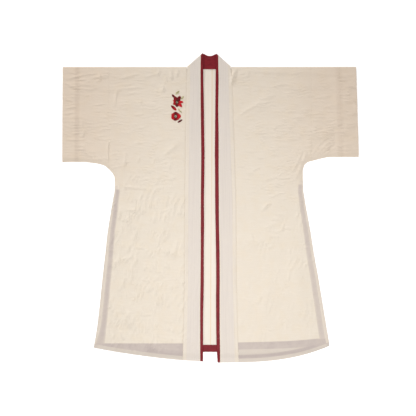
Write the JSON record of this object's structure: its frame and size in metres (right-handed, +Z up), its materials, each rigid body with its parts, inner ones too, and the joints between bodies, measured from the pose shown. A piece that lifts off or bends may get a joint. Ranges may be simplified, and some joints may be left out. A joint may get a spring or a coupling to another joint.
{
  "type": "hanfu robe jacket with wide half-length sleeves",
  "caption": "Open-front hanfu robe jacket in cream gauze, laid flat, with wide half-length sleeves, side slits and a lined collar band edged in burgundy.",
  "frame": {"origin": "middle of the garment's box, at its underside", "axes": "+X to the right as seen from above with the collar at the top, +Y from the hem to the collar, +Z up from the surface that the garment lies on"},
  "size_m": [1.0692, 1.1131, 0.0088],
  "materials": {
    "cream_gauze": "matt crinkled cotton gauze, slightly sheer",
    "band_gauze": "matt gauze over a burgundy lining that casts it lilac",
    "burgundy_satin": "burgundy cotton satin with a soft sheen",
    "red_thread": "glossy red embroidery thread",
    "green_thread": "glossy olive green embroidery thread",
    "cream_thread": "cream sewing thread"
  },
  "bodies": {
    "root": {"body_left": "cream_gauze", "body_right": "cream_gauze", "sleeve_left": "cream_gauze", "sleeve_right": "cream_gauze", "collar_band": "band_gauze", "collar_lining": "burgundy_satin", "collar_trim": "burgundy_satin", "back_hem_facing": "burgundy_satin", "front_hem_facing_left": "burgundy_satin", "front_hem_facing_right": "burgundy_satin", "front_slit_facing_left": "burgundy_satin", "front_slit_facing_right": "burgundy_satin", "cuff_facing_left": "cream_gauze", "cuff_facing_right": "cream_gauze"}
  },
  "joints": []
}
